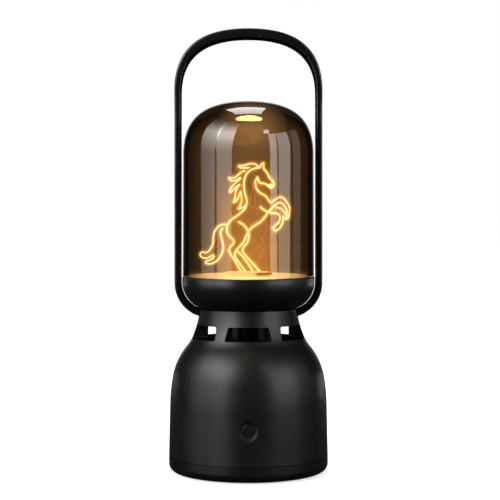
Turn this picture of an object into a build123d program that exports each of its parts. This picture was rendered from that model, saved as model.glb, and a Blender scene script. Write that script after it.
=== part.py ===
from build123d import *
from math import asin, atan2, cos, degrees, radians, sin, tan
import os

# A cordless lantern night light with a bent filament figure under a glass dome.
# Millimetres, +Z up, front towards -Y, the handle's loop in the XZ plane.
# The origin is the centre of the footprint, on the surface that the lamp stands on.

# Fits and clearances
seat_gap = 0.3
glass_gap = 0.25
pilot_gap = 0.05
button_gap = 0.4
groove = 0.35

# Bell-shaped base: its side line is a straight and four tangent arcs
base_radius = 50.0
part_line = 10.7
shell_wall = 2.2
side_lean = 1.25
side_length = 31.7
upper_side_radius = 120.0
upper_side_turn = 8.2
shoulder_radius = 41.0
shoulder_turn = 30.6
flare_radius = 23.5
flare_turn = 18.0
neck_curve_radius = 66.0
neck_curve_turn = 15.0

# Neck windows, as angles about the axis at their sills and heads
window_count = 6
window_sill_angle = 49.5
window_head_angle = 45.0
window_height = 8.6
window_corner = 1.3
neck_ring_height = 9.5
sill_thickness = 2.2
post_depth = 5.0
neck_wall = 3.0
neck_plate_thickness = 2.4

# Bottom cover
cover_floor = 2.4
cover_wall = 2.2
cover_edge_radius = 5.0
lip_thickness = 1.9
lip_rise = 1.6
lip_depth = 2.8
foot_stand = 0.6
foot_recess = 1.0
foot_radius = 4.6
foot_inset = 16.0
foot_count = 4
cover_screw_count = 4
cover_screw_inset = 10.0
cover_pillar_radius = 4.4
cover_pillar_rise = 1.9
shell_boss_radius = 3.6
shell_boss_length = 20.0
shell_rib_thickness = 2.0

# Inner deck and the column in the neck
deck_thickness = 2.4
deck_overlap = 6.0
deck_screw_count = 3
deck_screw_inset = 3.3
deck_screw_reach = 7.0
column_radius = 15.0
column_wall = 2.5
column_groove = 0.6
wire_hole_radius = 5.0

# Screws: large ones, and small ones for boards
screw_head_radius = 2.75
screw_head_height = 2.2
screw_radius = 1.25
screw_hole_gap = 0.45
cover_screw_length = 16.0
small_head_radius = 1.8
small_head_height = 1.3
small_screw_radius = 0.8
small_screw_length = 5.0

# Handle: a closed loop of strap, wider and thicker at the top
strap_gap = 1.0
handle_side_thickness = 4.05
handle_top_thickness = 5.3
hand_room = 39.6
arch_rise = 39.4
arch_fullness = 0.67
handle_corner_radius = 22.1
handle_sink = 5.3
strap_width = 14.0
grip_width = 22.0
grip_start_drop = 62.0
grip_full_drop = 16.0
strap_edge_radius = 1.1
hub_radius = 17.0

# Bowl
bowl_radius = 41.75
bowl_wall = 3.4
bowl_floor = 3.0
bowl_depth = 19.2
bowl_gap = 0.5
bowl_foot_inset = 0.5
bowl_edge_radius = 0.6
ledge_depth = 2.4
ledge_width = 2.0
ledge_thickness = 2.0
head_screw_count = 4
head_screw_circle = 9.0
head_boss_radius = 3.5
head_boss_height = 4.9
head_screw_reach = 8.5

# Lamp board in the bowl
lamp_board_radius = 25.0
board_thickness = 1.6
lamp_boss_circle = 21.5
lamp_boss_radius = 3.0
lamp_boss_height = 6.2
lamp_screw_count = 3

# Floor plate, pedestal and glass dome
floor_stand = 1.7
floor_plate_thickness = 1.5
floor_skirt = 1.6
floor_edge_radius = 0.5
pedestal_radius = 15.5
pedestal_height = 2.0
pedestal_edge_radius = 0.5
gasket_thickness = 0.4
dome_wall = 3.0
dome_side = 76.8
dome_rise = 34.0
dome_fullness = 0.69
dome_lip_radius = 0.8

# Filament figure: tube size, and the spacing of its layers from front to back
strand_radius = 0.55
layer_step = 1.5
figure_clearance = 0.5
outline_foot = -4.8
underline_foot = -2.1
far_hoof = 2.8
near_hoof = 6.9
pin_radius = 0.6
pin_gap = 0.3

# Push button at the front and its switch
button_height = 32.5
dish_radius = 6.8
dish_depth = 1.2
button_radius = 3.7
button_proud = 0.6
button_edge_radius = 0.4
button_flange_radius = 5.2
button_flange_thickness = 1.0
button_boss_radius = 8.6
button_boss_depth = 3.9
button_travel = 0.5
plunger_radius = 1.7
plunger_stand = 1.2
plunger_buried = 1.0
switch_size = 6.2
switch_depth = 3.5
switch_board_width = 26.0
switch_board_height = 16.0
switch_post_spacing = 19.0
switch_post_radius = 2.5

# Charging board at the rear with its socket
port_height = 21.0
port_width = 9.0
port_thickness = 3.2
port_wall = 0.3
port_length = 7.4
port_recess = 1.0
port_opening_gap = 0.4
tongue_width = 6.7
tongue_thickness = 0.7
tongue_length = 4.6
main_board_width = 32.0
main_board_length = 28.5
port_overlap = 2.1
standoff_radius = 2.6
standoff_spacing_x = 24.0
standoff_spacing_y = 20.0

# Cell and its cradle
cell_radius = 9.25
cell_length = 65.0
cell_back = 8.0
cell_cap_radius = 3.0
cell_cap_height = 0.6
cradle_floor = 1.6
cradle_width = 20.0
cradle_end_thickness = 2.0
cradle_end_height = 17.0
saddle_length = 6.0
saddle_spacing = 36.0
tab_thickness = 0.5
tab_width = 8.0
tab_height = 19.0

# Chips and coils on the boards, as width, depth and height
charge_chip = (6.0, 5.0, 1.4)
charge_coil = (5.0, 5.0, 3.0)
small_chip = (3.2, 1.6, 1.0)
chip_spacing = 7.0

# Wires held inside
wire_radius = 0.7
wire_spacing = 3.2
switch_lead_reach = -5.5
bend_share = 0.45

os.makedirs("parts", exist_ok=True)


def polar(radius, angle):
    """Give the point at a radius and an angle in degrees."""
    return (radius * cos(radians(angle)), radius * sin(radians(angle)))


def polar_spots(radius, count, start):
    """Give evenly spaced points on a circle."""
    return [polar(radius, start + 360 * step / count) for step in range(count)]


def bell_curve(inset):
    """Add the base's side line, moved inwards by inset, and return its last arc."""
    lean = radians(side_lean)
    low = (base_radius - inset * cos(lean), part_line - inset * sin(lean))
    high = (low[0] - side_length * sin(lean), low[1] + side_length * cos(lean))
    side = Line(low, high)
    upper = JernArc(side @ 1, side % 1, upper_side_radius - inset, upper_side_turn)
    shoulder = JernArc(upper @ 1, upper % 1, shoulder_radius - inset, shoulder_turn)
    flare = JernArc(shoulder @ 1, shoulder % 1, flare_radius + inset, -flare_turn)
    return JernArc(flare @ 1, flare % 1, neck_curve_radius + inset, -neck_curve_turn)


def arch_half(side, half_width, spring, rise, fullness):
    """Add half of a rounded arch, from its foot at one side up to its top."""
    return Bezier((side * half_width, spring),
                  (side * half_width, spring + fullness * rise),
                  (side * fullness * half_width, spring + rise),
                  (0, spring + rise))


def add_screws(spots, seat, tip, head, head_height, shank):
    """Add screws along Z, with their heads on the seat and their ends at the tip."""
    away = -1 if tip > seat else 1
    for x, y in spots:
        with Locations((x, y, seat + away * head_height / 2)):
            Cylinder(head, head_height)
        with Locations((x, y, (seat + tip) / 2)):
            Cylinder(shank, abs(tip - seat))


def bend_radii(route):
    """Give each corner of a route the largest arc that its two runs allow."""
    radii = []
    for before, corner, after in zip(route, route[1:], route[2:]):
        run_in = Vector(*corner) - Vector(*before)
        run_out = Vector(*after) - Vector(*corner)
        short = min(run_in.length, run_out.length)
        radii.append(bend_share * short / tan(radians(run_in.get_angle(run_out) / 2)))
    return radii


def tube(route, radius):
    """Make a round tube along straight runs joined by tangent arcs."""
    radii = bend_radii(route)
    print("tube of", len(route), "points, tightest bend", round(min(radii), 2))
    with BuildPart() as wire:
        with BuildLine() as path:
            FilletPolyline(*route, radius=radii)
        with BuildSketch(Plane(path.line @ 0, z_dir=path.line % 0)):
            Circle(radius)
        sweep(path=path.line)
    return wire.part


def strand(layer, points):
    """Make one strand of the figure in its layer, from points (x, height over its feet)."""
    return tube([(x, layer * layer_step, figure_foot + z) for x, z in points], strand_radius)


def bowl_line(curve, low):
    """Add one side of the bowl, from its floor's edge up its curve, as an arc."""
    centre = (bowl_radius - bowl_curve_radius, corner_height + bowl_gap)
    start = -degrees(asin((centre[1] - low) / curve))
    return CenterArc(centre, curve, start, -start)


# Levels and places that follow from the sizes
with BuildLine():
    neck_end = bell_curve(0)
neck_top = (neck_end @ 1).Y
window_head = neck_top - neck_ring_height
window_sill = window_head - window_height
sill_bottom = window_sill - sill_thickness
neck_outer_radius = (neck_end @ 1).X
post_inner_radius = neck_outer_radius - post_depth
neck_bore_radius = neck_outer_radius - neck_wall
foot_circle = base_radius - foot_inset
cover_screw_circle = base_radius - cover_screw_inset
deck_bottom = sill_bottom - deck_thickness
bar_bottom = neck_top - handle_sink
bar_top = bar_bottom + handle_side_thickness
plate_bottom = bar_bottom - neck_plate_thickness
bowl_bottom = neck_top + bowl_gap
bowl_inside = bowl_bottom + bowl_floor
bowl_foot_radius = hub_radius - bowl_foot_inset
rim = bowl_bottom + bowl_depth
seat = rim - ledge_depth
floor_plate_radius = bowl_radius - bowl_wall - seat_gap
floor_top = rim + floor_stand
pedestal_top = floor_top + pedestal_height
dome_inner_radius = floor_plate_radius + glass_gap
dome_radius = dome_inner_radius + dome_wall
dome_bottom = rim + gasket_thickness
dome_spring = dome_bottom + dome_side
figure_foot = pedestal_top + figure_clearance
handle_height = dome_spring + dome_rise + hand_room + handle_top_thickness
handle_half_width = dome_radius + strap_gap + handle_side_thickness
lamp_board_bottom = bowl_inside + lamp_boss_height
lamp_board_top = lamp_board_bottom + board_thickness
arch_spring = handle_height - arch_rise
corner_height = bar_bottom + handle_corner_radius
corner_reach = handle_half_width - handle_corner_radius
bowl_curve_radius = handle_corner_radius - handle_side_thickness
cover_inside = foot_stand + cover_floor
cover_top = part_line - groove
lip_radius = base_radius - shell_wall - seat_gap
pillar_top = part_line + cover_pillar_rise
cover_head_seat = foot_stand + cover_floor + cover_pillar_rise
main_board_top = port_height - port_thickness / 2
main_board_bottom = main_board_top - board_thickness
port_mouth = base_radius - (port_height - part_line) * tan(radians(side_lean)) - port_recess
main_board_back = port_mouth - port_length + port_overlap
main_board_middle = main_board_back - main_board_length / 2
button_wall = base_radius - (button_height - part_line) * tan(radians(side_lean))
button_face = button_wall - dish_depth + button_proud
boss_face = button_wall - button_boss_depth
flange_front = boss_face - seat_gap
flange_back = flange_front - button_flange_thickness
switch_front = flange_back - plunger_stand
board_front = switch_front - switch_depth
board_back = board_front - board_thickness
window_near = post_inner_radius / 2
window_far = base_radius
cell_height = cover_inside + cradle_floor + seat_gap + cell_radius
cradle_reach = cell_length / 2 + tab_thickness + seat_gap / 3 + cradle_end_thickness
tab_top = cover_inside + cradle_floor + tab_height
tab_reach = (cell_length + tab_thickness) / 2
column_slack = seat_gap / 2
foot_gap = seat_gap / 3
on_floor = (Align.CENTER, Align.CENTER, Align.MIN)

# Places of screws, feet and pins
cover_screw_spots = polar_spots(cover_screw_circle, cover_screw_count, 45)
foot_spots = polar_spots(foot_circle, foot_count, 0)
deck_screw_spots = polar_spots(post_inner_radius + deck_screw_inset, deck_screw_count, 60)
head_screw_spots = polar_spots(head_screw_circle, head_screw_count, 45)
lamp_screw_spots = polar_spots(lamp_boss_circle, lamp_screw_count, 90)
standoff_spots = [
    (side * standoff_spacing_x / 2, main_board_middle + end * standoff_spacing_y / 2)
    for side in (-1, 1) for end in (-1, 1)
]
pin_spots = [(outline_foot, 0), (underline_foot, layer_step), (far_hoof, 0), (near_hoof, -layer_step)]

# Routes of the wires, as points chosen by hand: (y, z), or (x, y, z) to each end of the cell
lamp_lead_route = [
    (21.0, main_board_top), (21.0, 34.0), (16.0, 56.0), (2.0, 76.0), (0.4, 90.0),
    (0.4, lamp_board_bottom),
]
battery_lead_route = [
    (tab_reach, -cell_back, tab_top), (tab_reach, -cell_back, 31.0), (29.0, -1.0, 37.0),
    (20.0, 14.0, 37.0), (14.5, 26.0, 33.0), (14.5, 26.0, main_board_top),
]
switch_lead_route = [
    (-board_back, 27.0), (-31.0, 27.0), (-22.0, 30.0), (-8.0, 33.0), (8.0, 32.0), (17.8, 28.0),
    (17.8, main_board_top),
]

# Free space of the battery bay, with the shell's bosses and posts left out of it
with BuildPart() as bay_space:
    with BuildSketch(Plane.XZ):
        with BuildLine():
            inner_end = bell_curve(shell_wall)
            inner_foot = (base_radius - shell_wall * cos(radians(side_lean)),
                          part_line - shell_wall * sin(radians(side_lean)))
            Polyline(inner_end @ 1, (0, (inner_end @ 1).Y), (0, inner_foot[1]), inner_foot)
        make_face()
        with Locations((0, sill_bottom)):
            Rectangle(2 * base_radius, neck_top, align=(Align.CENTER, Align.MIN), mode=Mode.SUBTRACT)
    revolve(axis=Axis.Z)
    for x, y in cover_screw_spots:
        boss_middle = pillar_top + shell_boss_length / 2
        with Locations((x, y, boss_middle)):
            Cylinder(shell_boss_radius, shell_boss_length, mode=Mode.SUBTRACT)
        turn = degrees(atan2(y, x))
        middle = polar((cover_screw_circle + base_radius) / 2, turn)
        with Locations(Location((*middle, boss_middle), (0, 0, turn))):
            Box(base_radius - cover_screw_circle, shell_rib_thickness, shell_boss_length,
                mode=Mode.SUBTRACT)
    with BuildSketch(Plane.XZ.offset(board_front)):
        with Locations((0, button_height)):
            with GridLocations(switch_post_spacing, 0, 2, 1):
                Circle(switch_post_radius)
    extrude(amount=base_radius - board_front, mode=Mode.SUBTRACT)
    with BuildSketch(Plane.XZ.offset(boss_face)):
        with Locations((0, button_height)):
            Circle(button_boss_radius)
    extrude(amount=base_radius - boss_face, mode=Mode.SUBTRACT)

# One neck window as a wedge that widens outwards
with BuildPart() as window_wedge:
    for reach in (window_near, window_far):
        with BuildSketch(Plane.XZ.offset(reach)):
            with BuildLine():
                low_half = reach * tan(radians(window_sill_angle / 2))
                high_half = reach * tan(radians(window_head_angle / 2))
                Polyline((-low_half, window_sill), (low_half, window_sill),
                         (high_half, window_head), (-high_half, window_head), close=True)
            make_face()
            fillet(vertices(), radius=window_corner)
    loft()

# Space that the handle's loop needs where it passes the neck's wall
with BuildPart() as handle_way:
    with BuildSketch(Plane.XZ):
        with BuildLine():
            way_low = bar_bottom - seat_gap
            way_reach = handle_half_width + seat_gap
            way_radius = handle_corner_radius + seat_gap
            Line((-corner_reach, way_low), (corner_reach, way_low))
            right_way = CenterArc((corner_reach, corner_height), way_radius, -90, 90)
            left_way = CenterArc((-corner_reach, corner_height), way_radius, 180, 90)
            Polyline(right_way @ 1, (way_reach, corner_height + bowl_gap),
                     (-way_reach, corner_height + bowl_gap), left_way @ 0)
        make_face()
    extrude(amount=strap_width / 2 + seat_gap, both=True)

# Bell-shaped shell with its windows, posts, screw bosses and button recess
with BuildPart() as base_shell:
    with BuildSketch(Plane.XZ):
        with BuildLine():
            outer_end = bell_curve(0)
            Polyline(outer_end @ 1, (0, neck_top), (0, part_line), (base_radius, part_line))
        make_face()
    revolve(axis=Axis.Z)
    add(bay_space.part, mode=Mode.SUBTRACT)
    with Locations((0, 0, sill_bottom)):
        Cylinder(post_inner_radius, neck_top, align=on_floor, mode=Mode.SUBTRACT)
    with Locations((0, 0, bar_bottom)):
        Cylinder(neck_bore_radius, neck_top, align=on_floor, mode=Mode.SUBTRACT)
    with PolarLocations(0, window_count):
        add(window_wedge.part, mode=Mode.SUBTRACT)
    add(handle_way.part, mode=Mode.SUBTRACT)
    with Locations((0, 0, plate_bottom)):
        Cylinder(neck_bore_radius, neck_plate_thickness, align=on_floor)
    with BuildSketch(Plane.XY.offset(plate_bottom)):
        Circle(wire_hole_radius)
        with Locations(*head_screw_spots):
            Circle(screw_radius + screw_hole_gap)
    extrude(amount=neck_plate_thickness, mode=Mode.SUBTRACT)
    with BuildSketch(Plane.XY.offset(sill_bottom)):
        with Locations(*deck_screw_spots):
            Circle(small_screw_radius + pilot_gap)
    extrude(amount=deck_screw_reach, mode=Mode.SUBTRACT)
    with BuildSketch(Plane.XY.offset(pillar_top)):
        with Locations(*cover_screw_spots):
            Circle(screw_radius + pilot_gap)
    extrude(amount=cover_screw_length, mode=Mode.SUBTRACT)
    with BuildSketch(Plane.XZ.offset(board_front)):
        with Locations((0, button_height)):
            with GridLocations(switch_post_spacing, 0, 2, 1):
                Circle(small_screw_radius + pilot_gap)
    extrude(amount=small_screw_length, mode=Mode.SUBTRACT)
    with BuildSketch(Plane.XZ):
        with Locations((0, button_height)):
            Circle(button_radius + button_gap)
    extrude(amount=base_radius, mode=Mode.SUBTRACT)
    dish_sphere = (dish_radius ** 2 + dish_depth ** 2) / (2 * dish_depth)
    with Locations((0, dish_depth - button_wall - dish_sphere, button_height)):
        Sphere(dish_sphere, mode=Mode.SUBTRACT)
    with BuildSketch(Plane.XZ.offset(-base_radius)):
        with Locations((0, port_height)):
            SlotOverall(port_width + 2 * port_opening_gap, port_thickness + 2 * port_opening_gap)
    extrude(amount=base_radius / 2, mode=Mode.SUBTRACT)
base_shell.part.label = "base_shell"
export_step(base_shell.part, "parts/base_shell.step")

# Bottom cover with its lip, screw pillars, board standoffs and foot recesses
with BuildPart() as bottom_cover:
    with BuildSketch(Plane.XZ):
        with BuildLine():
            wall_inside = base_radius - cover_wall
            Polyline((0, foot_stand), (base_radius, foot_stand), (base_radius, cover_top),
                     (wall_inside, cover_top), (wall_inside, cover_inside), (0, cover_inside),
                     close=True)
        make_face()
        low_corners = vertices().group_by(Axis.Y)
        fillet(low_corners[0].sort_by(Axis.X)[-1], radius=cover_edge_radius)
        fillet(low_corners[1].sort_by(Axis.X)[-1], radius=cover_edge_radius - cover_wall)
    revolve(axis=Axis.Z)
    for ring_radius, ring_top in ((lip_radius, part_line + lip_rise),
                                  (base_radius - cover_wall / 2, cover_top)):
        with BuildSketch(Plane.XY.offset(part_line - lip_depth)):
            Circle(ring_radius)
            Circle(lip_radius - lip_thickness, mode=Mode.SUBTRACT)
        extrude(amount=ring_top - part_line + lip_depth)
    with BuildSketch(Plane.XY.offset(cover_inside)):
        with Locations(*cover_screw_spots):
            Circle(cover_pillar_radius)
    extrude(amount=pillar_top - cover_inside)
    with BuildSketch(Plane.XY.offset(cover_inside)):
        with Locations(*standoff_spots):
            Circle(standoff_radius)
    extrude(amount=main_board_bottom - cover_inside)
    with BuildSketch(Plane.XY.offset(main_board_bottom)):
        with Locations(*standoff_spots):
            Circle(small_screw_radius + pilot_gap)
    extrude(amount=-small_screw_length, mode=Mode.SUBTRACT)
    with BuildSketch(Plane.XY.offset(foot_stand)):
        with Locations(*cover_screw_spots):
            Circle(screw_head_radius + screw_hole_gap)
    extrude(amount=cover_head_seat - foot_stand, mode=Mode.SUBTRACT)
    with BuildSketch(Plane.XY.offset(foot_stand)):
        with Locations(*cover_screw_spots):
            Circle(screw_radius + screw_hole_gap)
    extrude(amount=pillar_top, mode=Mode.SUBTRACT)
    with BuildSketch(Plane.XY.offset(foot_stand)):
        with Locations(*foot_spots):
            Circle(foot_radius + foot_gap)
    extrude(amount=foot_recess, mode=Mode.SUBTRACT)
bottom_cover.part.label = "bottom_cover"
export_step(bottom_cover.part, "parts/bottom_cover.step")

with BuildPart() as foot_pads:
    with BuildSketch():
        with Locations(*foot_spots):
            Circle(foot_radius)
    extrude(amount=foot_stand + foot_recess)
    fillet(edges().group_by(Axis.Z)[0], radius=foot_stand / 2)
foot_pads.part.label = "foot_pads"
export_step(foot_pads.part, "parts/foot_pads.step")

with BuildPart() as cover_screws:
    add_screws(cover_screw_spots, cover_head_seat, cover_head_seat + cover_screw_length,
               screw_head_radius, screw_head_height, screw_radius)
cover_screws.part.label = "cover_screws"
export_step(cover_screws.part, "parts/cover_screws.step")

# Deck that closes the battery bay under the windows, and the column that stands on it
with BuildPart() as inner_deck:
    with BuildSketch(Plane.XY.offset(deck_bottom)):
        Circle(post_inner_radius + deck_overlap)
        Circle(wire_hole_radius, mode=Mode.SUBTRACT)
        with Locations(*deck_screw_spots):
            Circle(small_screw_radius + screw_hole_gap, mode=Mode.SUBTRACT)
    extrude(amount=deck_thickness)
    with BuildSketch(Plane.XY.offset(sill_bottom)):
        Circle(column_radius + column_slack)
        Circle(column_radius - column_wall - column_slack, mode=Mode.SUBTRACT)
    extrude(amount=-column_groove, mode=Mode.SUBTRACT)
inner_deck.part.label = "inner_deck"
export_step(inner_deck.part, "parts/inner_deck.step")

with BuildPart() as deck_screws:
    add_screws(deck_screw_spots, deck_bottom, sill_bottom + deck_screw_reach - pilot_gap,
               small_head_radius, small_head_height, small_screw_radius)
deck_screws.part.label = "deck_screws"
export_step(deck_screws.part, "parts/deck_screws.step")

with BuildPart() as neck_column:
    with BuildSketch(Plane.XY.offset(sill_bottom - column_groove)):
        Circle(column_radius)
        Circle(column_radius - column_wall, mode=Mode.SUBTRACT)
    extrude(amount=plate_bottom - sill_bottom + column_groove)
neck_column.part.label = "neck_column"
export_step(neck_column.part, "parts/neck_column.step")

# Handle: a closed loop with a hub in the neck
with BuildPart() as handle:
    with BuildSketch(Plane.XZ.offset(-grip_width / 2)):
        for offset, rise, low, mode in (
            (0, arch_rise, bar_bottom, Mode.ADD),
            (handle_side_thickness, arch_rise - handle_top_thickness, bar_top, Mode.SUBTRACT),
        ):
            with BuildLine():
                for side in (1, -1):
                    reach = side * (handle_half_width - offset)
                    arch_half(side, handle_half_width - offset, arch_spring, rise, arch_fullness)
                    Line((reach, arch_spring), (reach, corner_height))
                Line((-corner_reach, low), (corner_reach, low))
                CenterArc((corner_reach, corner_height), handle_corner_radius - offset, -90, 90)
                CenterArc((-corner_reach, corner_height), handle_corner_radius - offset, 180, 90)
            make_face(mode=mode)
    extrude(amount=grip_width)
    with BuildSketch(Plane.YZ):
        with BuildLine():
            slim = strap_width / 2
            wide = grip_width / 2
            grip_start = handle_height - grip_start_drop
            grip_full = handle_height - grip_full_drop
            grip_middle = (grip_start + grip_full) / 2
            for side in (1, -1):
                Bezier((side * slim, grip_start), (side * slim, grip_middle),
                       (side * wide, grip_middle), (side * wide, grip_full))
            Polyline((slim, grip_start), (slim, 0), (-slim, 0), (-slim, grip_start))
            Polyline((wide, grip_full), (wide, handle_height + wide),
                     (-wide, handle_height + wide), (-wide, grip_full))
        make_face()
    extrude(amount=handle_half_width + handle_side_thickness, both=True, mode=Mode.INTERSECT)
    seams = edges().filter_by(Axis.X).filter_by(lambda edge: edge.length < corner_reach)
    fillet(edges().filter_by(Axis.Y, reverse=True) - seams, radius=strap_edge_radius)
    with BuildSketch(Plane.XY.offset(bar_bottom)):
        Circle(hub_radius)
    extrude(amount=handle_side_thickness)
    with BuildSketch(Plane.XY.offset(bar_bottom)):
        Circle(wire_hole_radius)
        with Locations(*head_screw_spots):
            Circle(screw_radius + screw_hole_gap)
    extrude(amount=handle_side_thickness, mode=Mode.SUBTRACT)
handle.part.label = "handle"
export_step(handle.part, "parts/handle.step")

with BuildPart() as head_screws:
    add_screws(head_screw_spots, plate_bottom, bar_top + head_screw_reach,
               screw_head_radius, screw_head_height, screw_radius)
head_screws.part.label = "head_screws"
export_step(head_screws.part, "parts/head_screws.step")

# Bowl with its foot, floor ledge and bosses
with BuildPart() as bowl:
    with BuildSketch(Plane.XZ):
        with BuildLine():
            bowl_side = bowl_line(bowl_curve_radius, bowl_bottom)
            Polyline(bowl_side @ 0, (0, bowl_bottom), (0, rim), (bowl_radius, rim), bowl_side @ 1)
        make_face()
    revolve(axis=Axis.Z)
    fillet(edges().filter_by(GeomType.CIRCLE).sort_by(Axis.Z)[0], radius=bowl_edge_radius)
    with BuildSketch(Plane.XZ):
        with BuildLine():
            bowl_hollow = bowl_line(bowl_curve_radius - bowl_wall, bowl_inside)
            Polyline(bowl_hollow @ 0, (0, bowl_inside), (0, rim), (bowl_radius - bowl_wall, rim),
                     bowl_hollow @ 1)
        make_face()
    revolve(axis=Axis.Z, mode=Mode.SUBTRACT)
    with BuildSketch(Plane.XY.offset(seat - ledge_thickness)):
        Circle(bowl_radius - bowl_wall / 2)
        Circle(bowl_radius - bowl_wall - ledge_width, mode=Mode.SUBTRACT)
    extrude(amount=ledge_thickness)
    with BuildSketch(Plane.XY.offset(bar_top)):
        Circle(bowl_foot_radius)
    extrude(amount=bowl_bottom - bar_top)
    with BuildSketch(Plane.XY.offset(bowl_inside)):
        with Locations(*head_screw_spots):
            Circle(head_boss_radius)
    extrude(amount=head_boss_height)
    with BuildSketch(Plane.XY.offset(bowl_inside)):
        with Locations(*lamp_screw_spots):
            Circle(lamp_boss_radius)
    extrude(amount=lamp_boss_height)
    with BuildSketch(Plane.XY.offset(bar_top)):
        with Locations(*head_screw_spots):
            Circle(screw_radius + pilot_gap)
    extrude(amount=head_screw_reach + pilot_gap, mode=Mode.SUBTRACT)
    with BuildSketch(Plane.XY.offset(bar_top)):
        Circle(wire_hole_radius)
    extrude(amount=bowl_inside - bar_top, mode=Mode.SUBTRACT)
    with BuildSketch(Plane.XY.offset(lamp_board_bottom)):
        with Locations(*lamp_screw_spots):
            Circle(small_screw_radius + pilot_gap)
    extrude(amount=-small_screw_length, mode=Mode.SUBTRACT)
bowl.part.label = "bowl"
export_step(bowl.part, "parts/bowl.step")

with BuildPart() as lamp_board:
    with BuildSketch(Plane.XY.offset(lamp_board_bottom)):
        Circle(lamp_board_radius)
        with Locations(*lamp_screw_spots):
            Circle(small_screw_radius + pilot_gap, mode=Mode.SUBTRACT)
    extrude(amount=board_thickness)
lamp_board.part.label = "lamp_board"
export_step(lamp_board.part, "parts/lamp_board.step")

with BuildPart() as lamp_board_screws:
    add_screws(lamp_screw_spots, lamp_board_top, lamp_board_top - small_screw_length,
               small_head_radius, small_head_height, small_screw_radius)
lamp_board_screws.part.label = "lamp_board_screws"
export_step(lamp_board_screws.part, "parts/lamp_board_screws.step")

# Floor under the figure
with BuildPart() as floor_plate:
    with BuildSketch(Plane.XY.offset(seat)):
        Circle(floor_plate_radius)
    extrude(amount=floor_top - seat)
    fillet(edges().filter_by(GeomType.CIRCLE).sort_by(Axis.Z)[-1], radius=floor_edge_radius)
    with BuildSketch(Plane.XY.offset(seat)):
        Circle(floor_plate_radius - floor_skirt)
    extrude(amount=floor_top - seat - floor_plate_thickness, mode=Mode.SUBTRACT)
    with BuildSketch(Plane.XY.offset(seat)):
        with Locations(*pin_spots):
            Circle(pin_radius + pin_gap)
    extrude(amount=floor_top - seat, mode=Mode.SUBTRACT)
floor_plate.part.label = "floor_plate"
export_step(floor_plate.part, "parts/floor_plate.step")

with BuildPart() as pedestal:
    with BuildSketch(Plane.XY.offset(floor_top)):
        Circle(pedestal_radius)
    extrude(amount=pedestal_height)
    fillet(edges().filter_by(GeomType.CIRCLE).sort_by(Axis.Z)[-1], radius=pedestal_edge_radius)
    with BuildSketch(Plane.XY.offset(floor_top)):
        with Locations(*pin_spots):
            Circle(pin_radius + pin_gap)
    extrude(amount=pedestal_height, mode=Mode.SUBTRACT)
pedestal.part.label = "pedestal"
export_step(pedestal.part, "parts/pedestal.step")

with BuildPart() as filament_pins:
    with BuildSketch(Plane.XY.offset(lamp_board_top)):
        with Locations(*pin_spots):
            Circle(pin_radius)
    extrude(amount=pedestal_top - lamp_board_top)
filament_pins.part.label = "filament_pins"
export_step(filament_pins.part, "parts/filament_pins.step")

# Glass dome on its soft ring
with BuildPart() as dome_gasket:
    with BuildSketch(Plane.XY.offset(rim)):
        Circle(bowl_radius - seat_gap)
        Circle(dome_inner_radius + seat_gap, mode=Mode.SUBTRACT)
    extrude(amount=gasket_thickness)
dome_gasket.part.label = "dome_gasket"
export_step(dome_gasket.part, "parts/dome_gasket.step")

with BuildPart() as dome:
    for radius, rise, mode in ((dome_radius, dome_rise, Mode.ADD),
                               (dome_inner_radius, dome_rise - dome_wall, Mode.SUBTRACT)):
        with BuildSketch(Plane.XZ):
            with BuildLine():
                arch_half(1, radius, dome_spring, rise, dome_fullness)
                Polyline((0, dome_spring + rise), (0, dome_bottom), (radius, dome_bottom),
                         (radius, dome_spring))
            make_face()
        revolve(axis=Axis.Z, mode=mode)
    fillet(edges().filter_by(GeomType.CIRCLE).group_by(Axis.Z)[0], radius=dome_lip_radius)
dome.part.label = "dome"
export_step(dome.part, "parts/dome.step")

# Filament figure: a rearing horse drawn by strands, each in its own layer
horse_outline = strand(0, [
    (outline_foot, 0.0), (-8.1, 5.6), (-10.8, 10.0), (-12.6, 13.0), (-11.3, 15.2), (-9.2, 17.5),
    (-9.4, 19.8), (-11.9, 21.6), (-13.8, 24.8), (-13.5, 28.6), (-11.6, 31.9), (-8.4, 34.5),
    (-3.7, 37.7), (-1.2, 40.8), (-0.7, 44.4), (-2.1, 49.1), (-2.9, 55.6), (-1.5, 60.5),
    (1.4, 63.6), (5.0, 65.0), (7.4, 65.6), (8.6, 68.0), (9.9, 68.0), (10.2, 65.6),
    (12.0, 62.1), (14.2, 58.4), (16.1, 56.0), (16.2, 54.0), (14.3, 52.6), (12.4, 53.6),
    (10.9, 55.2), (8.4, 55.6), (6.7, 56.8), (6.3, 58.6), (4.9, 59.0), (4.2, 56.9),
    (4.3, 54.2), (5.5, 51.3), (8.2, 49.1), (11.0, 47.4), (13.2, 44.6), (15.0, 43.9),
    (17.3, 45.6), (19.6, 46.9), (21.7, 46.3), (24.5, 43.2), (26.2, 39.9), (25.7, 35.1),
    (24.8, 32.7), (23.3, 32.6), (21.9, 35.0),
])
horse_outline.label = "horse_outline"
export_step(horse_outline, "parts/horse_outline.step")

horse_underline = strand(1, [
    (24.3, 34.6), (24.4, 38.6), (22.5, 41.6), (19.9, 43.5), (16.3, 41.2), (12.6, 37.2),
    (10.4, 33.9), (7.7, 30.8), (3.6, 28.4), (0.5, 25.8), (-1.6, 21.6), (-2.9, 18.1),
    (-6.2, 14.5), (-8.4, 12.2), (-8.7, 9.2), (-6.4, 5.6), (underline_foot, 0.0),
])
horse_underline.label = "horse_underline"
export_step(horse_underline, "parts/horse_underline.step")

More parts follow.
